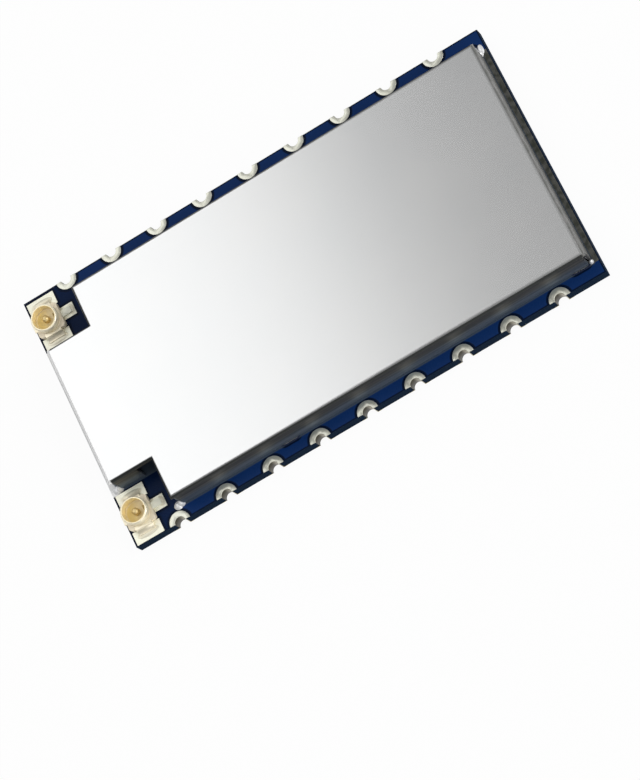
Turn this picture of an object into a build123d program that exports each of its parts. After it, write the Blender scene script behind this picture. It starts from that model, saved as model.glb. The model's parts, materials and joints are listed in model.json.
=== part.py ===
from build123d import *
import os

# Long-range radio module for soldering flat onto a larger board: a laminate board with plated
# half-holes along both long edges, a folded metal screening can over the circuit, and two
# micro coaxial receptacles left free in the can's corner notches.
# X runs along the board, Y across it and Z up through the can. The origin is the middle of the
# whole plan, level with the faces of the underside lands that the module rests on. While it is
# drawn, each piece is placed from the middle of the board.

# Board and its edge contacts
pitch = 3.81
contacts_per_edge = 9
end_margin = 3.61
board_width = 20.3
board_thickness = 1.0
copper = 0.05
hole_radius = 0.4
ring_radius = 0.8
land_width = 1.8
land_length = 1.85

# Ground lands on the underside: one is placed from the front edge and one from the back edge
large_land_x = -1.36
large_land_from_edge = 3.125
large_land_length = 5.4
large_land_width = 6.25
small_land_x = -7.55
small_land_from_edge = 3.58
small_land_length = 3.9
small_land_width = 4.86

# Screening can, folded from sheet: how far it stands in from each edge of the board, and how
# far its notches stay clear of the receptacles
sheet = 0.2
bend_radius = 0.3
can_height = 2.1
can_left_margin = 0.6
can_right_margin = 0.5
can_front_margin = 1.05
can_back_margin = 1.65
notch_end_clearance = 0.85
notch_front_clearance = 0.25
notch_back_clearance = 0.65
corner_gap = 0.1
corner_opening = 1.35
mouse_hole_width = 0.9
mouse_hole_height = 0.6

# Legs of the can and the plated slots that take them
leg_width = 1.1
leg_tip = 0.1
slot_length = 1.7
slot_width = 0.9
slot_plating = 0.1
slot_play = 0.05
end_slot_inset = 0.93
inner_slot_after_contact = 3

# Solder on the can
leg_solder_grip = 0.12
leg_solder_height = 0.6
corner_solder_height = 0.8

# Coaxial receptacles: the ring's axis from the board's end and from its long edge
coax_from_end = 1.25
coax_a_from_edge = 2.25
coax_b_from_edge = 2.05
coax_height = 1.2
coax_ring_radius = 1.0
coax_ring_wall = 0.15
coax_neck_depth = 0.07
coax_sheet = 0.15
coax_body_length = 2.1
coax_body_width = 2.0
coax_body_height = 0.45
coax_wing_width = 1.3
coax_wing_reach = 1.5
coax_tab_width = 0.8
coax_tab_reach = 1.2
coax_pin_radius = 0.25
coax_pin_height = 1.0
coax_tail_width = 0.5
coax_tail_reach = 1.8
coax_window_length = 0.3
coax_window_margin = 0.05
ground_land_length = 2.2
ground_land_width = 1.0
ground_land_span = 4.0
signal_land_length = 1.0
signal_land_width = 1.0
signal_land_reach = 2.05

# Parts under the can: plan size and height
terminal_thickness = 0.1
transceiver_size = 4.0
transceiver_height = 0.75
transceiver_terminals_per_side = 6
transceiver_terminal_pitch = 0.5
amplifier_size = 3.0
amplifier_height = 0.65
amplifier_terminals_per_side = 4
amplifier_terminal_pitch = 0.5
switch_size = 2.0
switch_height = 0.55
switch_terminals_per_side = 3
switch_terminal_pitch = 0.5
terminal_width = 0.25
terminal_length = 0.35
oscillator_length = 2.5
oscillator_width = 2.0
oscillator_base_height = 0.6
oscillator_lid_height = 0.25
oscillator_lid_margin = 0.12
regulator_length = 2.9
regulator_width = 1.6
regulator_height = 1.0
regulator_lead_pitch = 0.95
regulator_lead_width = 0.4
regulator_lead_reach = 0.6
regulator_lead_sheet = 0.15
coil_length = 2.5
coil_width = 2.0
coil_height = 1.0
coil_terminal = 0.5
filter_length = 2.0
filter_width = 1.25
filter_height = 0.7
filter_terminal = 0.3
small_part_length = 1.0
small_part_width = 0.5
capacitor_height = 0.5
resistor_height = 0.35
inductor_height = 0.55
end_cap = 0.25

# Places that follow from the sizes
board_length = pitch * (contacts_per_edge - 1) + 2 * end_margin
board_bottom = copper
board_top = copper + board_thickness
large_land_y = large_land_from_edge + (large_land_width - board_width) / 2
small_land_y = (board_width - small_land_width) / 2 - small_land_from_edge
coax_x = coax_from_end - board_length / 2
coax_a_y = board_width / 2 - coax_a_from_edge
coax_b_y = coax_b_from_edge - board_width / 2
can_left = can_left_margin - board_length / 2
can_right = board_length / 2 - can_right_margin
can_front = can_front_margin - board_width / 2
can_back = board_width / 2 - can_back_margin
can_middle_x = (can_left + can_right) / 2
can_middle_y = (can_front + can_back) / 2
notch_x = coax_x + signal_land_reach + notch_end_clearance
notch_front = coax_b_y + ground_land_span / 2 + notch_front_clearance
notch_back = coax_a_y - ground_land_span / 2 - notch_back_clearance
whole_middle_x = min(0, coax_from_end - coax_tab_reach) / 2
contact_places = [pitch * (i - (contacts_per_edge - 1) / 2) for i in range(contacts_per_edge)]

# Where each part under the can sits: its share of the way from the can's middle to its right and
# back walls, then its quarter turns
transceiver_place = (0.17, 0.08)
amplifier_place = (-0.35, -0.37)
switch_place = (-0.64, -0.49)
oscillator_place = (0.51, 0.44)
regulator_place = (0.73, -0.47)
coil_place = (0.74, 0.22)
filter_place = (-0.62, 0.42)
capacitor_places = [
    (-0.02, 0.31, 1), (-0.02, -0.22, 1), (0.36, 0.28, 1), (0.36, -0.15, 1), (0.13, 0.49, 0),
    (0.25, 0.49, 0), (0.51, 0.72, 0), (0.6, -0.72, 0), (0.86, -0.72, 0), (0.9, -0.12, 1),
    (-0.2, -0.6, 1), (-0.35, -0.74, 0), (-0.52, -0.17, 0), (-0.79, 0.15, 1),
]
resistor_places = [
    (0.13, -0.38, 0), (0.25, -0.38, 0), (0.51, -0.03, 0), (0.69, 0.69, 1), (-0.19, 0.56, 0),
    (-0.31, 0.56, 0),
]
inductor_places = [
    (-0.14, -0.1, 0), (-0.14, 0.12, 0), (-0.52, -0.6, 0), (-0.46, 0.42, 0), (-0.75, -0.17, 0),
    (-0.79, 0.44, 1),
]


def block(x, y, z, length, width, height):
    """A block whose base is centred on (x, y) at height z."""
    return Pos(x, y, z) * Box(length, width, height, align=(Align.CENTER, Align.CENTER, Align.MIN))


def post(x, y, z, radius, height):
    """An upright round bar that stands at height z."""
    return Pos(x, y, z) * Cylinder(radius, height, align=(Align.CENTER, Align.CENTER, Align.MIN))


def under_can(along, across):
    """X and Y of a place that is given as shares of the can's half length and half width."""
    x = can_middle_x + along * (can_right - can_left) / 2
    y = can_middle_y + across * (can_back - can_front) / 2
    return x, y


def slot_places():
    """The middle of each plated slot: its outer or inner side lies against the leg it takes."""
    front_y = can_front - slot_play + slot_width / 2
    back_y = can_back - sheet - slot_play + slot_width / 2
    end_x = can_right - end_slot_inset
    inner_x = (contact_places[inner_slot_after_contact - 1] + contact_places[inner_slot_after_contact]) / 2
    return [(x, y) for x in (end_x, inner_x) for y in (front_y, back_y)]


def slot_prism(x, y, grow, bottom, top):
    """A round-ended slot, grown all round, from one height to another."""
    outline = Pos(x, y, bottom) * SlotOverall(slot_length + 2 * grow, slot_width + 2 * grow)
    return extrude(outline, top - bottom)


def circuit_board():
    """The laminate board, with a half-hole for each edge contact and a slot for each leg."""
    board = block(0, 0, board_bottom, board_length, board_width, board_thickness)
    for x in contact_places:
        for side in (-1, 1):
            board -= post(x, side * board_width / 2, 0, hole_radius + copper, 2 * board_top)
    for x, y in slot_places():
        board -= slot_prism(x, y, slot_plating, 0, 2 * board_top)
    return board


def edge_contact(x, side):
    """One plated contact: a half ring on top, the lined half-hole and the land underneath."""
    edge = side * board_width / 2
    land = block(x, edge - side * land_length / 2, 0, land_width, land_length, copper)
    lining = post(x, edge, 0, hole_radius + copper, board_top)
    ring = post(x, edge, board_top, ring_radius, copper)
    metal = land + lining + ring - post(x, edge, 0, hole_radius, 2 * board_top)
    return metal & block(x, edge - side * land_length / 2, 0, 2 * land_width, land_length, 2 * board_top)


def slot_lining(x, y):
    """Plating in one slot, which stands out of the underside as a narrow rim."""
    return slot_prism(x, y, slot_plating, 0, board_top) - slot_prism(x, y, 0, 0, board_top)


def can_outline(inset):
    """The can's plan, drawn in from its outer faces, with a square notch at both left corners."""
    left, right = can_left + inset, can_right - inset
    front, back = can_front + inset, can_back - inset
    inner_x = notch_x + inset
    inner_front, inner_back = notch_front + inset, notch_back - inset
    corners = [
        (left, inner_front), (inner_x, inner_front), (inner_x, front), (right, front),
        (right, back), (inner_x, back), (inner_x, inner_back), (left, inner_back),
    ]
    return make_face(Polyline(*corners, close=True))


def can_blank():
    """The can with its rounded folds, before its corners and openings are cut."""
    outside = extrude(Pos(0, 0, board_top) * can_outline(0), can_height)
    outside = fillet(outside.faces().sort_by(Axis.Z)[-1].edges(), bend_radius)
    inside = extrude(Pos(0, 0, board_top) * can_outline(sheet), can_height - sheet)
    inside = fillet(inside.faces().sort_by(Axis.Z)[-1].edges(), bend_radius - sheet)
    return outside - inside


def can_corners():
    """Each outside corner of the can's plan, with the way along X and Y into the can."""
    return [
        (can_left, notch_front, 1, 1), (notch_x, can_front, 1, 1), (can_right, can_front, -1, 1),
        (can_right, can_back, -1, -1), (notch_x, can_back, 1, -1), (can_left, notch_back, 1, -1),
    ]


def corner_column(x, y, into_x, into_y, height):
    """The upright gap between two folded walls at an outside corner."""
    width = sheet + corner_gap
    return block(x + into_x * width / 2, y + into_y * width / 2, board_top, width, width, height)


def notch_openings(inner_y, outwards, coax_y):
    """What is cut from one notch's two walls: their meeting corner and the signal's way in."""
    height = can_height - bend_radius
    reach = corner_opening + sheet
    shift = sheet - reach / 2
    corner = block(notch_x + shift, inner_y - outwards * shift, board_top, reach, reach, height)
    mouse_hole = block(notch_x, coax_y, board_top, 4 * sheet, mouse_hole_width, mouse_hole_height)
    return corner + mouse_hole


def leg(x, front):
    """One leg, drawn down from a long wall through its slot."""
    y = can_front + sheet / 2 if front else can_back - sheet / 2
    return block(x, y, leg_tip, leg_width, sheet, board_top + bend_radius - leg_tip)


def shield_can():
    """The folded screening can with its legs."""
    can = can_blank()
    for x, y, into_x, into_y in can_corners():
        can -= corner_column(x, y, into_x, into_y, can_height - bend_radius)
    can -= notch_openings(notch_front, -1, coax_b_y)
    can -= notch_openings(notch_back, 1, coax_a_y)
    for x, y in slot_places():
        can += leg(x, y < can_middle_y)
    return can


def leg_solder(x, y):
    """Solder at the two ends of one slot, round the leg's edges."""
    filling = slot_prism(x, y, 0, leg_tip, leg_tip + leg_solder_height)
    bare = block(x, y, 0, leg_width - 2 * leg_solder_grip, 2 * slot_width, 2 * board_top)
    return filling - bare - leg(x, y < can_middle_y)


def corner_solder(x, y, into_x, into_y):
    """A bead of solder that closes the foot of one corner gap."""
    bead = corner_column(x, y, into_x, into_y, corner_solder_height)
    outer_edge = bead.edges().filter_by(Axis.Z).sort_by_distance(Vertex(x, y, board_top))[0]
    bead = chamfer(outer_edge, corner_gap)
    return chamfer(bead.faces().sort_by(Axis.Z)[-1].edges(), corner_gap / 2)


def coax_lands(y):
    """The three lands of one receptacle: two for its shell and one for its signal tail."""
    offset = (ground_land_span - ground_land_width) / 2
    grounds = [
        block(coax_x, y + side * offset, board_top, ground_land_length, ground_land_width, copper)
        for side in (-1, 1)
    ]
    signal_x = coax_x + signal_land_reach - signal_land_length / 2
    return grounds + [block(signal_x, y, board_top, signal_land_length, signal_land_width, copper)]


def coax_shell():
    """The receptacle's stamped shell: the necked ring, its two soldered wings and a tab."""
    bore, outer = coax_ring_radius - coax_ring_wall, coax_ring_radius
    neck = outer - coax_neck_depth
    lip = coax_neck_depth
    top, bottom = coax_body_height, coax_body_height - coax_sheet
    neck_high = coax_height - 4 * coax_ring_wall
    side = Polyline(
        (bore, top), (neck, top), (neck, neck_high), (outer, neck_high + lip),
        (outer, coax_height - lip), (outer - lip, coax_height), (bore, coax_height), close=True,
    )
    shell = revolve(Plane.XZ * make_face(side), Axis.Z)
    heel = coax_body_width / 2
    bent = Polyline(
        (bore, bottom), (heel, bottom), (heel, 0), (coax_wing_reach, 0), (coax_wing_reach, coax_sheet),
        (heel + coax_sheet, coax_sheet), (heel + coax_sheet, top), (bore, top), close=True,
    )
    wing = extrude(Plane.YZ * make_face(bent), coax_wing_width / 2, both=True)
    tab_length = coax_tab_reach - bore
    tab = block(-bore - tab_length / 2, 0, bottom, tab_length, coax_tab_width, coax_sheet)
    return shell + wing + mirror(wing, Plane.XZ) + tab


def coax_centre_contact():
    """The receptacle's signal contact: a bevelled pin on a flat tail."""
    pin = post(0, 0, 0, coax_pin_radius, coax_pin_height)
    pin = chamfer(pin.faces().sort_by(Axis.Z)[-1].edges(), coax_pin_radius / 2)
    tail_length = coax_tail_reach + coax_pin_radius
    tail_x = (coax_tail_reach - coax_pin_radius) / 2
    return pin + block(tail_x, 0, 0, tail_length, coax_tail_width, coax_sheet)


def coax_insulator():
    """The receptacle's moulded base, with a window over the tail between the pin and the ring."""
    body = block(0, 0, 0, coax_body_length, coax_body_width, coax_body_height)
    body = chamfer(body.edges().filter_by(Axis.Z), coax_sheet)
    window_end = coax_ring_radius - coax_ring_wall - coax_window_margin
    window_x = window_end - coax_window_length / 2
    window = block(window_x, 0, coax_sheet, coax_window_length, coax_tail_width, coax_body_height)
    return body - window - coax_shell() - coax_centre_contact()


def leadless_terminals(x, y, size, per_side, spacing):
    """The solder terminals round a leadless chip's underside, and the pad in its middle."""
    edge = (size - terminal_length) / 2
    thermal = size - 4 * terminal_length
    terminals = [block(x, y, board_top, thermal, thermal, terminal_thickness)]
    for i in range(per_side):
        along = spacing * (i - (per_side - 1) / 2)
        for side in (-edge, edge):
            terminals.append(
                block(x + along, y + side, board_top, terminal_width, terminal_length, terminal_thickness)
            )
            terminals.append(
                block(x + side, y + along, board_top, terminal_length, terminal_width, terminal_thickness)
            )
    return terminals


def leadless_body(x, y, size, height):
    """A leadless chip's moulded body, standing on its terminals."""
    return block(x, y, board_top + terminal_thickness, size, size, height)


def oscillator_lid():
    """The seam-welded lid of the clock oscillator."""
    x, y = under_can(*oscillator_place)
    length = oscillator_length - 2 * oscillator_lid_margin
    width = oscillator_width - 2 * oscillator_lid_margin
    lid = block(x, y, board_top + oscillator_base_height, length, width, oscillator_lid_height)
    return chamfer(lid.edges().filter_by(Axis.Z), oscillator_lid_margin)


def regulator_body():
    """The regulator's moulded body, with a draft on its top."""
    x, y = under_can(*regulator_place)
    body = block(x, y, board_top + terminal_thickness, regulator_length, regulator_width, regulator_height)
    return chamfer(body.faces().sort_by(Axis.Z)[-1].edges(), terminal_thickness)


def regulator_leads():
    """Five bent leads: three on the regulator's front side and two on its back."""
    x, y = under_can(*regulator_place)
    root = regulator_width / 2
    low, high = terminal_thickness + regulator_height / 2, regulator_lead_sheet
    foot = root + regulator_lead_reach
    knee = root + regulator_lead_reach / 2
    bent = Polyline(
        (root, low), (knee - high, low), (knee - high, 0), (foot, 0), (foot, high), (knee, high),
        (knee, low + high), (root, low + high), close=True,
    )
    lead = extrude(Plane.YZ * make_face(bent), regulator_lead_width / 2, both=True)
    back = [Pos(x + i * regulator_lead_pitch, y, board_top) * lead for i in (-1, 1)]
    front = [
        Pos(x + i * regulator_lead_pitch, y, board_top) * mirror(lead, Plane.XZ) for i in (-1, 0, 1)
    ]
    return back + front


def capped_body(x, y, turns, length, width, height, cap):
    """The middle of a two-ended part, between its end caps."""
    middle = block(0, 0, 0, length - 2 * cap, width, height)
    return Pos(x, y, board_top) * Rot(0, 0, 90 * turns) * middle


def capped_ends(x, y, turns, length, width, height, cap):
    """The two plated ends of a two-ended part."""
    reach = (length - cap) / 2
    place = Pos(x, y, board_top) * Rot(0, 0, 90 * turns)
    return [place * block(side * reach, 0, 0, cap, width, height) for side in (-1, 1)]


def small_bodies(places, height):
    """The bodies of one kind of small part."""
    size = (small_part_length, small_part_width, height, end_cap)
    return [capped_body(*under_can(*place), turns, *size) for *place, turns in places]


def small_ends(places, height):
    """The end caps of one kind of small part."""
    size = (small_part_length, small_part_width, height, end_cap)
    return [end for *place, turns in places for end in capped_ends(*under_can(*place), turns, *size)]


def save(name, *solids):
    """Writes one node, a single solid or a group of separate ones, placed from the whole's middle."""
    placed = [Pos(-whole_middle_x, 0, 0) * solid for solid in solids]
    shape = placed[0] if len(placed) == 1 else Compound(children=placed)
    export_step(shape, f"parts/{name}.step")


os.makedirs("parts", exist_ok=True)

save("circuit_board", circuit_board())
save("front_edge_contacts", *[edge_contact(x, -1) for x in contact_places])
save("back_edge_contacts", *[edge_contact(x, 1) for x in contact_places])
save("large_ground_land", block(large_land_x, large_land_y, 0, large_land_length, large_land_width, copper))
save("small_ground_land", block(small_land_x, small_land_y, 0, small_land_length, small_land_width, copper))
save("slot_linings", *[slot_lining(x, y) for x, y in slot_places()])

save("shield_can", shield_can())
save("shield_leg_solder", *[end for x, y in slot_places() for end in leg_solder(x, y).solids()])
save("shield_corner_solder", *[corner_solder(*corner) for corner in can_corners()])

for letter, coax_y in (("a", coax_a_y), ("b", coax_b_y)):
    seat = Pos(coax_x, coax_y, board_top + copper)
    save(f"coax_lands_{letter}", *coax_lands(coax_y))
    save(f"coax_shell_{letter}", seat * coax_shell())
    save(f"coax_insulator_{letter}", seat * coax_insulator())
    save(f"coax_centre_contact_{letter}", seat * coax_centre_contact())

chips = [
    ("transceiver", transceiver_place, transceiver_size, transceiver_height,
     transceiver_terminals_per_side, transceiver_terminal_pitch),
    ("power_amplifier", amplifier_place, amplifier_size, amplifier_height,
     amplifier_terminals_per_side, amplifier_terminal_pitch),
    ("antenna_switch", switch_place, switch_size, switch_height,
     switch_terminals_per_side, switch_terminal_pitch),
]
for name, place, size, height, per_side, spacing in chips:
    x, y = under_can(*place)
    save(f"{name}_chip", leadless_body(x, y, size, height))
    save(f"{name}_terminals", *leadless_terminals(x, y, size, per_side, spacing))

oscillator_size = (oscillator_length, oscillator_width, oscillator_base_height)
save("clock_oscillator_base", block(*under_can(*oscillator_place), board_top, *oscillator_size))
save("clock_oscillator_lid", oscillator_lid())
save("voltage_regulator_body", regulator_body())
save("voltage_regulator_leads", *regulator_leads())

coil_size = (coil_length, coil_width, coil_height, coil_terminal)
save("supply_inductor_core", capped_body(*under_can(*coil_place), 0, *coil_size))
save("supply_inductor_terminals", *capped_ends(*under_can(*coil_place), 0, *coil_size))
filter_size = (filter_length, filter_width, filter_height, filter_terminal)
save("harmonic_filter_body", capped_body(*under_can(*filter_place), 0, *filter_size))
save("harmonic_filter_terminals", *capped_ends(*under_can(*filter_place), 0, *filter_size))

small_parts = [
    ("capacitor", capacitor_places, capacitor_height),
    ("resistor", resistor_places, resistor_height),
    ("matching_inductor", inductor_places, inductor_height),
]
for name, places, height in small_parts:
    save(f"{name}_bodies", *small_bodies(places, height))
    save(f"{name}_end_caps", *small_ends(places, height))
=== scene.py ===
import json
import math
import random

import bmesh
import bpy
from mathutils import Matrix, Vector


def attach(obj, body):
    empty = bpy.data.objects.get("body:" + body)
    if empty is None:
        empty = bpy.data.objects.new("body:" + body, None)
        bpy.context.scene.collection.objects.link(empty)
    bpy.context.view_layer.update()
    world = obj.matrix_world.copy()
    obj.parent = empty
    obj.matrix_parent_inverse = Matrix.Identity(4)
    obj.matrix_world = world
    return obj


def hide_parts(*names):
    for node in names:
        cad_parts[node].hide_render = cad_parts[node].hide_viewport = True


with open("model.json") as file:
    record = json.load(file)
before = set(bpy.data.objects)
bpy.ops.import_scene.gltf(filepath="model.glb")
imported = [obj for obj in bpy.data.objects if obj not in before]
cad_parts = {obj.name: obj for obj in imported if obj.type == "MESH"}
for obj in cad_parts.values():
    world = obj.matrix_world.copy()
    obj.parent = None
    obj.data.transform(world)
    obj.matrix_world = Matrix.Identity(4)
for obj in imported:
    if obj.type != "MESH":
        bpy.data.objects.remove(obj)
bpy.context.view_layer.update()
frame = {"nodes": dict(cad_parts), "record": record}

# The circuit board: glass-fibre laminate, 1 mm thick, under a glossy navy solder mask. Its copper
# pour shows through the mask as a slightly lighter blue and stops short of every land, ring and
# slot. Round the receptacles the mask is painted darker, as painted shade of the can's notch walls.
# A band round the can's foot is painted as a tinned track with painted reflections, and the cut
# edges are bare.
mm = 0.001
board_half_length = 18.85
board_half_width = 10.15
board_bottom = 0.05
board_top = 1.05
edge_rounding = 0.02
cut_edge = 0.025
pitch = 3.81
contacts_per_edge = 9
last_contact = (contacts_per_edge - 1) / 2
contact_x = [pitch * (i - last_contact) for i in range(contacts_per_edge)]
ring_radius = 0.8
land_half_width = 0.9
land_length = 1.85
ground_lands = {
    "large_ground_land": (-1.36, -3.9, 2.7, 3.125),
    "small_ground_land": (-7.55, 4.14, 1.95, 2.43),
}
slot_x = (17.42, -5.715)
slot_y = 8.7
slot_half_run = 0.4
slot_clearance = 0.5
receptacle_x = -17.6
receptacle_y = {"a": 7.9, "b": -8.1}
receptacle_middle = sum(receptacle_y.values()) / 2
receptacle_spread = (receptacle_y["a"] - receptacle_y["b"]) / 2
wing_reach = 1.5
ground_half = (1.1, 0.5)
signal_middle = 1.55
signal_half = (0.5, 0.5)
can_left, can_right = -18.25, 18.35
can_front, can_back = -9.10, 8.50
notch_x = -14.70
notch_front, notch_back = -5.85, 5.25
pour_gap = (0.16, 0.22)
pour_edge_allowance = 0.09
receptacle_painted_shade = 0.72
track_width = 0.13
right_track_end = board_half_length - 0.12
right_track_margin = 0.04
left_track_front, left_track_back = notch_front - 0.2, notch_back + 0.65
left_track_margin = 0.02
track_blur = 0.03


class Socket:
    """A socket of a material. Arithmetic on it adds Math nodes, and add() any other node."""

    def __init__(self, tree, link):
        self.tree = tree
        self.link = link

    def add(self, kind, sockets, output=0, **settings):
        """A new node of a kind, with its settings and its sockets' values or links."""
        node = self.tree.nodes.new("ShaderNode" + kind)
        for name, value in settings.items():
            setattr(node, name, value)
        for name, value in sockets.items():
            if isinstance(value, Socket):
                self.tree.links.new(value.link, node.inputs[name])
            else:
                node.inputs[name].default_value = value
        return Socket(self.tree, node.outputs[output]) if node.outputs else None

    def math(self, operation, *values):
        return self.add("Math", dict(enumerate(values)), operation=operation)

    def __add__(self, other):
        return self.math("ADD", self, other)

    def __sub__(self, other):
        return self.math("SUBTRACT", self, other)

    def __rsub__(self, other):
        return self.math("SUBTRACT", other, self)

    def __mul__(self, other):
        return self.math("MULTIPLY", self, other)

    def __truediv__(self, other):
        return self.math("DIVIDE", self, other)

    def __abs__(self):
        return self.math("ABSOLUTE", self)

    __radd__ = __add__
    __rmul__ = __mul__

    def step(self, low, high):
        """0 below low, 1 above high, and a smooth slope between."""
        ends = {"Value": self, "From Min": low, "From Max": high}
        return self.add("MapRange", ends, interpolation_type="SMOOTHSTEP")

    def mix(self, first, second):
        """A colour between two others, with this socket as the share of the second."""
        return self.add("Mix", {0: self, 6: first, 7: second}, output=2, data_type="RGBA")


def start_material(name):
    """A new material, and its place on the object in millimetres."""
    material = bpy.data.materials.new(name)
    material.use_nodes = True
    tree = material.node_tree
    tree.nodes.clear()
    place = Socket(tree, None).add("TexCoord", {}, output="Object")
    return material, place.add("VectorMath", {0: place, "Scale": 1 / mm}, operation="SCALE")


def surface(material, base, roughness, metallic=0.0, relief=None, depth=0.0, **constants):
    """A shader for a material. relief is a height from 0 to 1, and depth its size in metres."""
    sockets = {"Base Color": base, "Roughness": roughness, "Metallic": metallic, **constants}
    if relief is not None:
        bump = {"Height": relief, "Distance": depth, "Strength": 1.0}
        sockets["Normal"] = relief.add("Bump", bump)
    return Socket(material.node_tree, None).add("BsdfPrincipled", sockets)


def shade(material, *finish, **constants):
    """Gives a material one shader all over."""
    shader = surface(material, *finish, **constants)
    shader.add("OutputMaterial", {"Surface": shader})


def noise(place, scale, detail=3.0, stretch=(1, 1, 1)):
    """Soft random grey, with features about 1 / scale millimetres wide."""
    if stretch != (1, 1, 1):
        place = place.add("Mapping", {"Vector": place, "Scale": stretch})
    return place.add("TexNoise", {"Vector": place, "Scale": scale, "Detail": detail})


def axes(place):
    """The X, Y and Z of a place."""
    return [place.add("SeparateXYZ", {"Vector": place}, output=i) for i in range(3)]


def box_distance(along, across, half_length, half_width):
    """How far a place is outside a rectangle, in millimetres."""
    past_x = along.math("MAXIMUM", abs(along) - half_length, 0.0)
    past_y = along.math("MAXIMUM", abs(across) - half_width, 0.0)
    return along.math("SQRT", past_x * past_x + past_y * past_y)


def span_distance(x, y, left, right, front, back):
    """How far a place is outside a rectangle that is given by its four sides, in millimetres."""
    middle_x, middle_y = (left + right) / 2, (front + back) / 2
    return box_distance(x - middle_x, y - middle_y, (right - left) / 2, (back - front) / 2)


def least(first, *others):
    """The smallest of several sockets."""
    for other in others:
        first = first.math("MINIMUM", first, other)
    return first


def pour_and_shade_share(x, y, below):
    """1 where copper shows through the mask, 0 round each land, ring and slot, and lower round the
    receptacles, which paints the mask darker as painted shade.
    """
    nearest = x.math("ROUND", x / pitch)
    nearest = nearest.math("MINIMUM", nearest.math("MAXIMUM", nearest, -last_contact), last_contact)
    between = abs(x - nearest * pitch)
    outwards = board_half_width - abs(y)
    slots = [
        box_distance(x - place_x, abs(y) - slot_y, slot_half_run, 0.0) - slot_clearance
        for place_x in slot_x
    ]
    land = box_distance(between, outwards, land_half_width, land_length)
    bare = [
        box_distance(x - land_x, y - land_y, half_length, half_width)
        for land_x, land_y, half_length, half_width in ground_lands.values()
    ]
    ring = between.math("SQRT", between * between + outwards * outwards) - ring_radius
    from_axis = abs(y - receptacle_middle) - receptacle_spread
    grounds = box_distance(x - receptacle_x, abs(from_axis) - wing_reach, *ground_half)
    signal = box_distance(x - receptacle_x - signal_middle, from_axis, *signal_half)
    gap = least(land, *bare) * below + least(ring, grounds, signal) * (1 - below)
    from_edge = least(outwards, board_half_length - abs(x)) + pour_edge_allowance
    # Left of the can's notches the pour share is turned down: painted shade round the receptacles.
    shaded_by_receptacles = (1 - x.step(notch_x - 0.1, notch_x)) * (1 - below)
    pour = least(gap, from_edge, *slots).step(*pour_gap)
    return pour * (1 - shaded_by_receptacles * receptacle_painted_shade)


def track_reflection_share(x, y, below):
    """1 on the band round the can's foot that is painted as a tinned track with painted
    reflections, and 0 elsewhere and underneath.
    """
    from_can = least(
        span_distance(x, y, notch_x, can_right, can_front, can_back),
        span_distance(x, y, can_left, can_right, notch_front, notch_back),
    )
    on_right = span_distance(x, y, can_right, right_track_end, can_front, can_back)
    on_left = span_distance(x, y, -board_half_length, can_left, left_track_front, left_track_back)
    foot = least(
        from_can - track_width, on_right - right_track_margin, on_left - left_track_margin
    )
    return (1 - foot.step(0.0, track_blur)) * (1 - below)


def solder_mask():
    material, place = start_material("solder_mask")
    x, y, z = axes(place)
    below = 1 - z.step(0.2, 0.8)
    pour = pour_and_shade_share(x, y, below)
    track_reflection = track_reflection_share(x, y, below)
    cloud = noise(place, 0.35)
    fine = noise(place, 9.0, 2.0)
    over_copper = cloud.mix((0.004, 0.023, 0.100, 1), (0.006, 0.031, 0.130, 1))
    over_laminate = cloud.mix((0.001, 0.005, 0.020, 1), (0.001, 0.007, 0.028, 1))
    mask = pour.mix(over_laminate, over_copper)
    mottle = noise(place, 2.6, 4.0).step(0.35, 0.65)
    # The track is tin with painted reflections: dark olive-grey at the right end as a painted dark
    # reflection, near-white at the left end as a painted highlight, and blue-grey along the long
    # sides as a painted reflection of the walls.
    right_track_dark_reflection = mottle.mix((0.050, 0.053, 0.044, 1), (0.105, 0.106, 0.097, 1))
    left_track_highlight = mottle.mix((0.88, 0.88, 0.87, 1), (0.94, 0.94, 0.94, 1))
    long_track_reflection = x.step(can_left - 0.2, can_left - 0.1).mix(left_track_highlight, (0.05, 0.07, 0.10, 1))
    track_painted_light = x.step(can_right, can_right + 0.1).mix(long_track_reflection, right_track_dark_reflection)
    plies = {"Vector": place, "Scale": 1.4, "Distortion": 1.5, "Detail": 2.0}
    weave = place.add("TexWave", plies, bands_direction="Z", output=1)
    cut = weave.mix((0.004, 0.013, 0.030, 1), (0.007, 0.019, 0.042, 1))
    upright = z.step(board_bottom, board_bottom + cut_edge)
    upright = upright * (1 - z.step(board_top - cut_edge, board_top))
    glossy = surface(
        material, track_reflection.mix(mask, track_painted_light), 0.22 + 0.12 * fine + 0.15 * track_reflection,
        relief=pour * 0.8 + fine * 0.2, depth=0.00002, **{"Specular IOR Level": 0.05},
    )
    routed = surface(
        material, cut, 0.75 + 0.15 * fine,
        relief=weave, depth=0.00001, **{"Specular IOR Level": 0.03},
    )
    blend = upright.add("MixShader", {0: upright, 1: glossy, 2: routed})
    blend.add("OutputMaterial", {"Surface": blend})
    return material


crease_angle = math.radians(35)
bevelled_angle = 0.7


def place_piece(name, shape, material, replaced=()):
    """Turns a bmesh drawn in millimetres into a smooth-shaded piece, and frees the bmesh."""
    bmesh.ops.scale(shape, vec=(mm, mm, mm), verts=shape.verts)
    mesh = bpy.data.meshes.new(name)
    shape.to_mesh(mesh)
    shape.free()
    mesh.shade_smooth()
    mesh.set_sharp_from_angle(angle=crease_angle)
    mesh.materials.append(material)
    piece = bpy.data.objects.new(name, mesh)
    bpy.context.scene.collection.objects.link(piece)
    even = piece.modifiers.new("even_shading", "WEIGHTED_NORMAL")
    even.keep_sharp = True
    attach(piece, "root")
    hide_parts(*replaced)
    return piece


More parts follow.
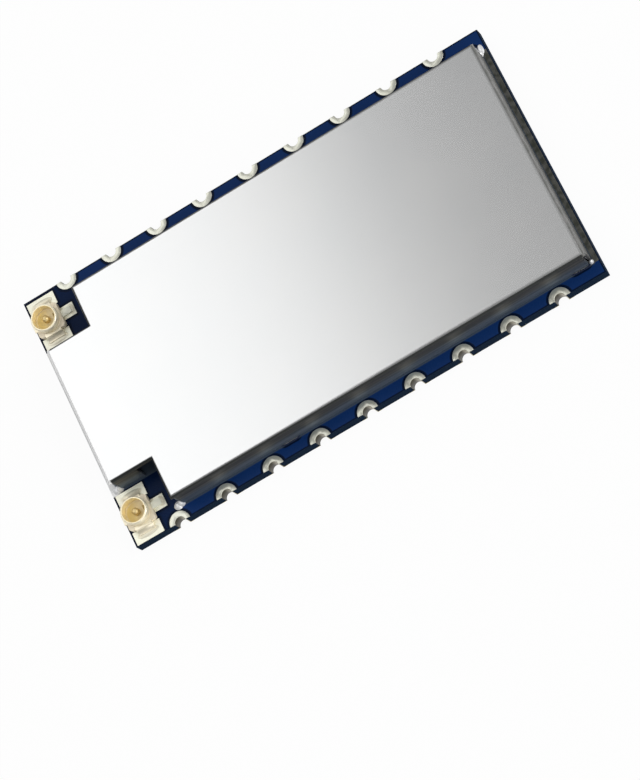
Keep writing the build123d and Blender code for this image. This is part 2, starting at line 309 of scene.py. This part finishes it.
def rounded_copy(node, width=edge_rounding, segments=2):
    """A bmesh of a CAD node, in millimetres, with its outer edges rounded."""
    shape = bmesh.new()
    shape.from_mesh(frame["nodes"][node].data)
    bmesh.ops.scale(shape, vec=(1 / mm, 1 / mm, 1 / mm), verts=shape.verts)
    bmesh.ops.remove_doubles(shape, verts=shape.verts, dist=0.0005)
    bmesh.ops.recalc_face_normals(shape, faces=shape.faces)
    bmesh.ops.dissolve_limit(
        shape, angle_limit=math.radians(1), verts=shape.verts, edges=shape.edges
    )
    edges = [
        e for e in shape.edges
        if e.is_manifold and e.is_convex and e.calc_face_angle() > bevelled_angle
    ]
    bmesh.ops.bevel(
        shape, geom=edges, offset=width, offset_type="OFFSET", segments=segments, profile=0.5,
        affect="EDGES", material=-1, clamp_overlap=True,
    )
    return shape


mask_finish = solder_mask()
place_piece(
    "board_with_solder_mask", rounded_copy("circuit_board"), mask_finish,
    ["circuit_board"],
)

# Tented vias: plated holes that join the pours of both faces, closed by the mask. Each one shows
# as a low ring with a dimple in it, along the edges between the lands.
via_ring = 0.26
via_height = 0.018
via_slope, via_crest, dimple_slope = 0.09, 0.07, 0.05
dimple_depth = 1.6 * via_height
edge_via_y = 9.35
slot_keep_out = 1.5
via_drift = 0.2


def add_via(shape, x, y):
    """Adds one dimpled ring to the underside of the board."""
    under = Matrix.Translation((x, y, board_bottom)) @ Matrix.Rotation(math.pi, 4, "X")
    made = bmesh.ops.create_circle(shape, cap_ends=True, radius=via_ring, segments=20, matrix=under)
    cap = made["verts"][0].link_faces[0]
    bmesh.ops.inset_region(shape, faces=[cap], thickness=via_slope, depth=via_height)
    bmesh.ops.inset_region(shape, faces=[cap], thickness=via_crest, depth=0)
    bmesh.ops.inset_region(shape, faces=[cap], thickness=dimple_slope, depth=-dimple_depth)


via_shape = bmesh.new()
draw = random.Random(8)
for x in contact_x[:-1]:
    for y in (-edge_via_y, edge_via_y):
        if abs(x + pitch / 2 - slot_x[1]) > slot_keep_out:
            add_via(via_shape, x + pitch / 2, y)
scattered_vias = [
    (-16.6, 0.6), (-16.9, -4.8), (-12.4, -6.2), (-13.2, 2.3), (-9.1, -3.3), (-6.2, -0.2),
    (-3.4, 3.1), (-1.6, 5.3), (1.9, 6.2), (2.6, 0.4), (4.3, -5.4), (8.2, -5.9),
    (11.4, -6.3), (16.9, -4.3), (16.9, 0.7), (16.7, 5.2), (9.6, 6.1), (5.3, 5.7),
]
for x, y in scattered_vias:
    drift_x = draw.uniform(-via_drift, via_drift)
    add_via(via_shape, x + drift_x, y + draw.uniform(-via_drift, via_drift))
place_piece("tented_vias", via_shape, mask_finish)

# Edge contacts: copper plated through the half-holes and round the board's edge, under a thin layer
# of pale immersion gold. The ring on top and the land underneath are one piece with it. A pale rim
# round each land is a painted highlight on the land's edge, and the inside of each half-hole's
# barrel is painted dark as painted shade.
rim_highlight = (0.11, 0.2)
barrel_radius = (0.42, 0.46)
barrel_top = (1.0, board_top)


def gold_land(inwards, patches):
    """The colour of a land: golden, with a pale rim as a painted highlight where the distance
    inwards is small.
    """
    golden = patches.mix((0.82, 0.72, 0.42, 1), (0.76, 0.64, 0.36, 1))
    return inwards.step(*rim_highlight).mix((0.90, 0.88, 0.74, 1), golden)


def edge_gold():
    material, place = start_material("edge_immersion_gold")
    x, y, z = axes(place)
    across = x - x.math("ROUND", x / pitch) * pitch
    outwards = board_half_width - abs(y)
    reach = across.math("SQRT", across * across + outwards * outwards)
    barrel = (1 - reach.step(*barrel_radius)) * (1 - z.step(*barrel_top))
    patches = noise(place, 0.9, 2.0)
    grain = noise(place, 14.0, 3.0)
    land = gold_land(least(land_half_width - abs(across), land_length - outwards), patches)
    ring = patches.mix((0.70, 0.71, 0.63, 1), (0.66, 0.65, 0.55, 1))
    color = z.step(0.3, 0.7).mix(land, ring)
    # Inside the barrel the gold is painted dark brown, darkest on its left side, as painted shade.
    barrel_painted_shade = across.step(-0.1, 0.35).mix((0.035, 0.028, 0.012, 1), (0.42, 0.38, 0.28, 1))
    color = barrel.mix(color, barrel_painted_shade)
    shade(material, color, 0.30 + 0.12 * grain, metallic=0.8, relief=grain, depth=0.000004)
    return material


edge_finish = edge_gold()
for edge in ("front", "back"):
    node = f"{edge}_edge_contacts"
    name = f"{edge}_plated_half_holes"
    place_piece(name, rounded_copy(node), edge_finish, [node])

# The two bare ground lands of the underside, which are soldered to the host board. The filled holes
# that carry heat through the board show as faint dimples in the gold, each painted darker as
# painted shade.
def dimpled_gold(name, land_x, land_y, half_length, half_width):
    material, place = start_material(name)
    x, y = axes(place)[:2]
    spread = {"Vector": place, "Scale": 0.75, "Randomness": 0.85}
    dimple_and_shade = 1 - place.add("TexVoronoi", spread, voronoi_dimensions="2D").step(0.08, 0.2)
    patches = noise(place, 0.9, 2.0)
    grain = noise(place, 14.0, 3.0)
    inwards = least(half_length - abs(x - land_x), half_width - abs(y - land_y))
    # Each dimple is painted darker, as painted shade.
    color = (dimple_and_shade * 0.6).mix(gold_land(inwards, patches), (0.42, 0.34, 0.18, 1))
    shade(
        material, color, 0.34 + 0.16 * grain, metallic=0.75,
        relief=grain * 0.1 + (1 - dimple_and_shade) * 0.9, depth=0.00002,
    )
    return material


for node, sides in ground_lands.items():
    name = f"{node}_gold"
    place_piece(name, rounded_copy(node), dimpled_gold(name, *sides), [node])

# Slot linings: copper plated through the slots that take the can's legs, and tinned by the solder
# that ran into them. The mask covers their ends on the board's top.
def slot_lining():
    material, place = start_material("tinned_slot_lining")
    ripple = noise(place, 2.2, 3.0)
    grain = noise(place, 20.0, 2.0)
    tinned = ripple.mix((0.66, 0.68, 0.70, 1), (0.86, 0.87, 0.88, 1))
    masked = axes(place)[2].step(0.98, 1.03)
    shade(
        material, masked.mix(tinned, (0.002, 0.009, 0.04, 1)), 0.2 + 0.2 * grain,
        metallic=1 - masked, relief=ripple, depth=0.00002,
    )
    return material


linings = rounded_copy("slot_linings")
place_piece("tinned_slot_linings", linings, slot_lining(), ["slot_linings"])

# White print on the underside: a number beside each contact, and a table of two rows whose lower
# row holds a number for each choice. It is ink, screened onto the mask.
ink_height = 0.012
ink_size = 1.15
number_y = 7.35
beside_land_y = 7.66
beside_land_reach = 3
number_shift = 0.12
table_left = 3.52
table_front = -3.58
table_middle = 0.40
table_back = 4.36
table_column = 2.4
table_columns = 5
table_line = 0.13
on_outline = 0.01


def print_ink():
    material, place = start_material("print_ink")
    speckle = noise(place, 12.0, 2.0)
    color = speckle.mix((0.62, 0.70, 0.80, 1), (0.80, 0.84, 0.88, 1))
    shade(material, color, 0.55 + 0.1 * speckle, relief=speckle, depth=0.000004)
    return material


def number(text, x, y, turned):
    """A number's mesh, in millimetres, on the underside: turned ones read across the board."""
    curve = bpy.data.curves.new("number", "FONT")
    curve.body = text
    curve.size = ink_size
    curve.align_x, curve.align_y = "CENTER", "CENTER"
    curve.extrude = ink_height / 2
    curve.resolution_u = 4
    holder = bpy.data.objects.new("number", curve)
    mesh = bpy.data.meshes.new_from_object(holder)
    right = Vector((0, -1, 0)) if turned else Vector((1, 0, 0))
    up = Vector((-1, 0, 0)) if turned else Vector((0, -1, 0))
    turn = Matrix((right, up, right.cross(up))).transposed().to_4x4()
    mesh.transform(Matrix.Translation((x, y, board_bottom - ink_height / 2)) @ turn)
    bpy.data.objects.remove(holder)
    bpy.data.curves.remove(curve)
    return mesh


print_shape = bmesh.new()
marks = []
for i, x in enumerate(contact_x):
    beside_land = abs(x - ground_lands["large_ground_land"][0]) < beside_land_reach
    front_y = -beside_land_y if beside_land else -number_y
    opposite = str(2 * contacts_per_edge - i)
    marks.append((str(i + 1), x + number_shift, number_y, True))
    marks.append((opposite, x + number_shift, front_y, not beside_land))
for i in range(table_columns):
    middle = table_left + table_column * (i + 0.5)
    marks.append((str(i + 1), middle, (table_middle + table_back) / 2, True))
for mark in marks:
    ink = number(*mark)
    print_shape.from_mesh(ink)
    bpy.data.meshes.remove(ink)
bmesh.ops.remove_doubles(print_shape, verts=print_shape.verts, dist=0.0005)
bmesh.ops.recalc_face_normals(print_shape, faces=print_shape.faces)
ink_finish = print_ink()
place_piece("printed_numbers", print_shape, ink_finish)


def moved_out(value, low, high):
    """Moves what is on the table's outline half a line's width outwards."""
    if value < low + on_outline:
        return value - table_line / 2
    if value > high - on_outline:
        return value + table_line / 2
    return value


table_shape = bmesh.new()
bmesh.ops.create_grid(table_shape, x_segments=table_columns, y_segments=2, size=0.5)
table_length = table_columns * table_column
for v in table_shape.verts:
    row = round(v.co.y * 2)
    v.co.x = table_left + (v.co.x + 0.5) * table_length
    v.co.y = (table_front, table_middle, table_back)[row + 1]
    v.co.z = board_bottom
cells = table_shape.faces[:]
drawn = bmesh.ops.inset_individual(table_shape, faces=cells, thickness=table_line / 2)
lines = set(drawn["faces"])
blanks = [f for f in table_shape.faces if f not in lines]
bmesh.ops.delete(table_shape, geom=blanks, context="FACES")
for v in table_shape.verts:
    v.co.x = moved_out(v.co.x, table_left, table_left + table_length)
    v.co.y = moved_out(v.co.y, table_front, table_back)
raised = bmesh.ops.extrude_face_region(table_shape, geom=table_shape.faces[:])
raised_verts = [g for g in raised["geom"] if isinstance(g, bmesh.types.BMVert)]
bmesh.ops.translate(table_shape, vec=(0, 0, -ink_height), verts=raised_verts)
bmesh.ops.recalc_face_normals(table_shape, faces=table_shape.faces)
place_piece("printed_table", table_shape, ink_finish)

# The parts under the can: moulded chips, an oscillator, a ferrite coil and small ceramic parts, all
# soldered to the board. The can hides them, so they keep their plain shapes, with a finish each.
def plain_finish(name, dark, light, roughness, metallic=0.0):
    material, place = start_material(name)
    cloud = noise(place, 1.4, 3.0)
    grain = noise(place, 18.0, 3.0)
    color = cloud.mix((*dark, 1), (*light, 1))
    shade(
        material, color, roughness + 0.12 * grain, metallic=metallic, relief=grain, depth=0.000005
    )
    return material


part_looks = {
    "chip_moulding": ("chip_moulding", (0.012, 0.012, 0.013), (0.022, 0.022, 0.024), 0.5),
    "tinned_terminal": ("matt_tin", (0.60, 0.61, 0.62), (0.74, 0.75, 0.76), 0.35, 1.0),
    "oscillator_ceramic": ("oscillator_ceramic", (0.09, 0.08, 0.07), (0.13, 0.12, 0.10), 0.5),
    "oscillator_lid_metal": ("oscillator_lid", (0.70, 0.64, 0.50), (0.80, 0.74, 0.60), 0.25, 1.0),
    "coil_ferrite": ("coil_ferrite", (0.022, 0.022, 0.024), (0.035, 0.035, 0.038), 0.6),
    "capacitor_ceramic": ("capacitor_ceramic", (0.26, 0.16, 0.08), (0.34, 0.22, 0.12), 0.45),
    "resistor_film": ("resistor_glaze", (0.006, 0.006, 0.008), (0.014, 0.014, 0.016), 0.25),
    "inductor_ceramic": ("inductor_ceramic", (0.50, 0.52, 0.53), (0.62, 0.63, 0.64), 0.45),
    "filter_ceramic": ("filter_ceramic", (0.03, 0.06, 0.08), (0.05, 0.09, 0.11), 0.45),
}
finishes = {slot: plain_finish(*look) for slot, look in part_looks.items()}
for part in frame["record"]["subparts"]:
    if part["material_slot"] in finishes:
        inner = frame["nodes"][part["node"]]
        inner.data.materials.clear()
        inner.data.materials.append(finishes[part["material_slot"]])

# The screening can: one sheet of tinned metal, folded down on every side, with four legs in the
# board's slots. Its rolled top is satin and reflects softly. Its walls and folds are painted dark,
# as a painted reflection of dark surroundings, and lighter and bluer at the foot, as a painted
# reflection of the board. The right end wall is painted lighter as painted light, and the fold at
# the left end near-white as a painted highlight.
wall_top = (3.08, 3.145)
dark_reflection_height = (2.5, 2.8)
left_fold_highlight_height = (2.84, 2.88)
leg_top = (0.95, 1.1)
fold_rim_width = (0.13, 0.21)
left_fold_highlight_end = (can_left + 0.22, can_left + 0.3)
lit_end_wall_start = (can_right - 0.25, can_right - 0.1)


def tinned_sheet():
    material, place = start_material("tinned_sheet")
    x, y, z = axes(place)
    rolled = noise(place, 5.0, 3.0, stretch=(0.12, 1.6, 1.6))
    smudge = noise(place, 0.16, 4.0)
    grain = noise(place, 5.0, 2.0)
    streak = noise(place, 2.4, 4.0, stretch=(0.06, 0.06, 2.5))
    # At the can's left end the fold is painted near-white and less metallic, as a painted highlight
    # of the light from the left.
    left_fold_highlight = (1 - x.step(*left_fold_highlight_end)) * z.step(*left_fold_highlight_height)
    # Round the receptacle notches the fold's rim takes the wall's painted dark reflection.
    notch_a = span_distance(x, y, can_left, notch_x, notch_back, can_back)
    notch_d = span_distance(x, y, can_left, notch_x, can_front, notch_front)
    fold_rim = 1 - least(notch_a, notch_d).step(*fold_rim_width)
    wall = z.math("MAXIMUM", 1 - z.step(*wall_top), fold_rim) * (1 - left_fold_highlight)
    end_wall = x.step(*lit_end_wall_start)
    top = smudge.mix((0.615, 0.625, 0.63, 1), (0.66, 0.66, 0.655, 1))
    # The walls are painted as reflections: dark in the upper part as a painted reflection of dark
    # surroundings, lighter and bluer at the foot as a painted reflection of the board.
    upper = streak.step(0.3, 0.7).mix((0.032, 0.033, 0.032, 1), (0.10, 0.097, 0.09, 1))
    lower = streak.step(0.3, 0.7).mix((0.13, 0.17, 0.22, 1), (0.23, 0.28, 0.34, 1))
    drawn = z.step(leg_top[1], dark_reflection_height[0]).mix(lower, upper)
    # Near the fold the wall is painted almost black, as a painted dark reflection.
    drawn = z.step(*dark_reflection_height).mix(drawn, (0.030, 0.032, 0.031, 1))
    # The right end wall is painted lighter, as painted light from the right panel.
    end_wall_painted_light = noise(place, 1.8, 3.0, stretch=(1, 0.6, 2.0)).step(0.3, 0.7)
    end_wall_painted_light = end_wall_painted_light.mix((0.165, 0.17, 0.16, 1), (0.265, 0.26, 0.255, 1))
    drawn = end_wall.mix(drawn, end_wall_painted_light)
    drawn = z.step(*leg_top).mix((0.84, 0.85, 0.86, 1), drawn)
    color = left_fold_highlight.mix(wall.mix(top, drawn), (0.93, 0.93, 0.93, 1))
    shade(
        material, color, 0.20 + 0.02 * smudge + 0.02 * rolled + 0.26 * wall,
        metallic=1 - 0.35 * wall - 0.8 * left_fold_highlight, relief=rolled * 0.8 + grain * 0.05, depth=0.0000015,
    )
    return material


folded = rounded_copy("shield_can")
place_piece("folded_screening_can", folded, tinned_sheet(), ["shield_can"])

# Solder on the can, bright where it cooled: round beads at the feet of its open corners, low pools
# beside them on the board, and what holds the legs in their slots.
bead_radius = 0.3
bead_inset = 0.12
mound_fullness = 0.45
mound_sunk = 0.01
corner_beads = [
    (can_left, notch_front, 1, 1, 0.48),
    (notch_x, can_front, 1, 1, 0.45),
    (can_right, can_back, -1, -1, 0.3),
    (notch_x, can_back, 1, -1, 0.42),
    (can_left, notch_back, 1, -1, 0.4),
]
corner_pools = [
    (can_left - 0.12, notch_front + 0.1, 0.34, 0.32, 0.2),
    (notch_x - 0.14, can_front + 0.06, 0.36, 0.32, 0.2),
    (can_right - 0.07, can_front + 0.1, 0.18, 0.18, 0.25),
    (can_right + 0.12, can_back + 0.18, 0.2, 0.4, 0.08),
]


def solder_mounds(mounds, seat):
    """Round tops that flare into a flat foot: x, y, half length, half width, height."""
    shape = bmesh.new()
    for x, y, half_length, half_width, height in mounds:
        ball = bmesh.ops.create_uvsphere(shape, u_segments=24, v_segments=32, radius=1)
        for vertex in ball["verts"]:
            ring = vertex.co.xy.length
            out = math.atan2(ring, vertex.co.z) / (math.pi / 2)
            if vertex.co.z > 0 and ring > 0:
                vertex.co.xy *= out / ring
            rise = (0.5 + 0.5 * math.cos(math.pi * min(out, 1))) ** mound_fullness
            vertex.co.z = seat - mound_sunk + rise * height
            vertex.co.xy = (x + vertex.co.x * half_length, y + vertex.co.y * half_width)
    return shape


def set_solder(name, dark, light):
    material, place = start_material(name)
    ripple = noise(place, 2.2, 3.0)
    grain = noise(place, 20.0, 2.0)
    color = ripple.mix((*dark, 1), (*light, 1))
    shade(material, color, 0.34 + 0.2 * grain, metallic=0.45, relief=ripple, depth=0.000006)
    return material


solder = set_solder("bright_solder", (0.86, 0.87, 0.88), (0.95, 0.95, 0.95))
beads = [
    (x + into_x * bead_inset, y + into_y * bead_inset, bead_radius, bead_radius, height)
    for x, y, into_x, into_y, height in corner_beads
]
mounds = solder_mounds(beads + corner_pools, board_top)
place_piece("can_corner_beads", mounds, solder, ["shield_corner_solder"])
leg_fillets = rounded_copy("shield_leg_solder", width=0.05, segments=3)
place_piece("can_leg_fillets", leg_fillets, solder, ["shield_leg_solder"])

# The receptacles' lands, three for each: bare immersion gold on the board, as pale as tin. A low
# fillet of solder stands round the ends of the shell's wings and the contact's tail.
land_top = 1.10
fine_rounding = 0.015
tail_reach = 1.8
wing_fillet = (0.92, 0.3, 0.09)
tail_fillet = (0.24, 0.42, 0.09)


def pale_land_gold():
    material, place = start_material("pale_land_gold")
    patches = noise(place, 0.9, 2.0)
    grain = noise(place, 14.0, 3.0)
    color = patches.mix((0.94, 0.96, 0.80, 1), (0.95, 0.91, 0.76, 1))
    shade(material, color, 0.30 + 0.12 * grain, metallic=0.3, relief=grain, depth=0.000004)
    return material


land_finish = pale_land_gold()
stained = set_solder("flux_stained_solder", (0.84, 0.79, 0.60), (0.92, 0.88, 0.74))
for letter, y in receptacle_y.items():
    node = f"coax_lands_{letter}"
    lands = rounded_copy(node, fine_rounding)
    place_piece(f"receptacle_{letter}_lands", lands, land_finish, [node])
    fillets = [(receptacle_x, y + side * wing_reach, *wing_fillet) for side in (-1, 1)]
    fillets.append((receptacle_x + tail_reach, y, *tail_fillet))
    mounds = solder_mounds(fillets, land_top)
    place_piece(f"receptacle_{letter}_solder", mounds, stained)

# The receptacles: a stamped and gold-plated shell with a necked ring, a pale moulding under it,
# and a bevelled pin on a flat tail. The tail and the shell's two wings are soldered down.
bore_radius = (0.86, 0.92)
bore_foot = (1.5, 1.6)
window_radius = (0.7, 0.9)
pin_foot = (1.25, 1.35)


def inside_ring(place, low, high):
    """1 near a receptacle's axis, 0 outside, with a slope between two radii."""
    x, y = axes(place)[:2]
    along = x - receptacle_x
    from_axis = abs(y - receptacle_middle) - receptacle_spread
    return 1 - along.math("SQRT", along * along + from_axis * from_axis).step(low, high)


def receptacle_gold():
    material, place = start_material("receptacle_gold")
    wear = noise(place, 1.6, 3.0)
    grain = noise(place, 24.0, 2.0)
    # Inside the ring the shell is painted a deeper yellow, as a painted reflection of the gold
    # inside the bore.
    bore_painted_reflection = inside_ring(place, *bore_radius) * axes(place)[2].step(*bore_foot)
    color = wear.mix((0.94, 0.84, 0.60, 1), (0.96, 0.90, 0.74, 1))
    color = bore_painted_reflection.mix(color, (0.98, 0.86, 0.54, 1))
    shade(material, color, 0.26 + 0.14 * grain, metallic=0.45, relief=grain, depth=0.000003)
    return material


def receptacle_moulding():
    material, place = start_material("receptacle_moulding")
    cloud = noise(place, 1.2, 3.0)
    grain = noise(place, 26.0, 3.0)
    color = cloud.mix((0.88, 0.77, 0.58, 1), (0.92, 0.84, 0.68, 1))
    # Inside the ring the moulding is painted golden-tan on the left as painted shade and paler on
    # the right as painted light.
    golden = axes(place)[0] - receptacle_x
    golden = golden.step(-0.5, 0.5).mix((0.84, 0.66, 0.27, 1), (0.92, 0.80, 0.54, 1))
    color = inside_ring(place, *window_radius).mix(color, golden)
    shade(material, color, 0.5 + 0.1 * grain, relief=grain, depth=0.000006)
    return material


def darker_pin_gold():
    material, place = start_material("darker_pin_gold")
    wear = noise(place, 3.0, 3.0)
    grain = noise(place, 24.0, 2.0)
    # The pin is a darker gold than the shell, and its tail below is as pale as the lands.
    color = wear.mix((0.62, 0.47, 0.20, 1), (0.74, 0.60, 0.32, 1))
    pin = axes(place)[2].step(*pin_foot)
    color = pin.mix((0.94, 0.94, 0.80, 1), color)
    metal = 0.25 + 0.5 * pin
    shade(material, color, 0.38 + 0.14 * grain, metallic=metal, relief=grain, depth=0.000003)
    return material


stamped = receptacle_gold()
moulded = receptacle_moulding()
pin_gold = darker_pin_gold()
receptacle_pieces = [
    ("shell", "coax_shell", edge_rounding, stamped, "receptacle_gold"),
    ("moulding", "coax_insulator", edge_rounding, moulded, "receptacle_moulding"),
    ("pin", "coax_centre_contact", fine_rounding, pin_gold, "receptacle_gold"),
]
for letter in receptacle_y:
    for name, start, rounding, finish, slot in receptacle_pieces:
        node = f"{start}_{letter}"
        shape = rounded_copy(node, rounding)
        place_piece(f"receptacle_{letter}_{name}", shape, finish, [node])

# The setting: a plain white floor, a wide soft panel overhead, a brighter one to the left whose
# edge the can's top reflects, and two aimed ones that light the walls from the front and right.
floor_half_width = 1.5
white_share = 0.95
floor_shape = bmesh.new()
bmesh.ops.create_grid(floor_shape, x_segments=1, y_segments=1, size=floor_half_width)
floor_mesh = bpy.data.meshes.new("floor")
floor_shape.to_mesh(floor_mesh)
floor_shape.free()
floor = bpy.data.objects.new("floor", floor_mesh)
bpy.context.scene.collection.objects.link(floor)


def floor_paper():
    material = bpy.data.materials.new("floor_paper")
    material.use_nodes = True
    tree = material.node_tree
    tree.nodes.clear()
    start = Socket(tree, None)
    seen = start.add("LightPath", {}, output="Is Camera Ray")
    seen = seen + start.add("LightPath", {}, output="Is Glossy Ray")
    seen = seen + start.add("LightPath", {}, output="Is Transmission Ray")
    paper = start.add("BsdfDiffuse", {"Color": (0.88, 0.88, 0.88, 1)})
    glow = start.add("Emission", {"Color": (1, 1, 1, 1), "Strength": 1.0})
    blend = start.add("MixShader", {0: seen * white_share, 1: paper, 2: glow})
    start.add("OutputMaterial", {"Surface": blend})
    return material


floor_mesh.materials.append(floor_paper())


def panel(name, place, length, width, level, aimed=False):
    """A soft panel that faces down or at the module, level bright where 1 shows as white."""
    lamp = bpy.data.lights.new(name, "AREA")
    lamp.shape = "RECTANGLE"
    lamp.size, lamp.size_y = length, width
    lamp.energy = level * math.pi * length * width
    holder = bpy.data.objects.new(name, lamp)
    holder.location = place
    if aimed:
        holder.rotation_euler = (-Vector(place)).to_track_quat("-Z", "Y").to_euler()
    bpy.context.scene.collection.objects.link(holder)


panel("overhead_panel", (0.15, 0.20, 0.30), 0.40, 0.50, 0.20)
panel("left_panel", (-0.20, 0.20, 0.30), 0.30, 0.50, 1.42)
panel("front_panel", (0.12, -0.42, 0.28), 0.40, 0.30, 1.7, aimed=True)
panel("right_panel", (0.45, -0.15, 0.30), 0.30, 0.40, 4.0, aimed=True)

world = bpy.data.worlds.new("studio")
bpy.context.scene.world = world
world.use_nodes = True
world.node_tree.nodes["Background"].inputs["Color"].default_value = (1, 1, 1, 1)
world.node_tree.nodes["Background"].inputs["Strength"].default_value = 0.25

camera_place = Vector((45.0, -97.3, 229.85)) * mm
camera_right = Vector((0.8453, -0.4136, -0.3381))
camera_up = Vector((0.4997, 0.8360, 0.2266))
eye = bpy.data.cameras.new("camera")
eye.lens = 168.81
eye.sensor_width = 36
eye.clip_start, eye.clip_end = 0.01, 5
camera = bpy.data.objects.new("camera", eye)
camera.matrix_world = (
    Matrix.Translation(camera_place)
    @ Matrix((camera_right, camera_up, camera_right.cross(camera_up))).transposed().to_4x4()
)
bpy.context.scene.collection.objects.link(camera)
bpy.context.scene.camera = camera
bpy.context.scene.view_settings.view_transform = "Standard"
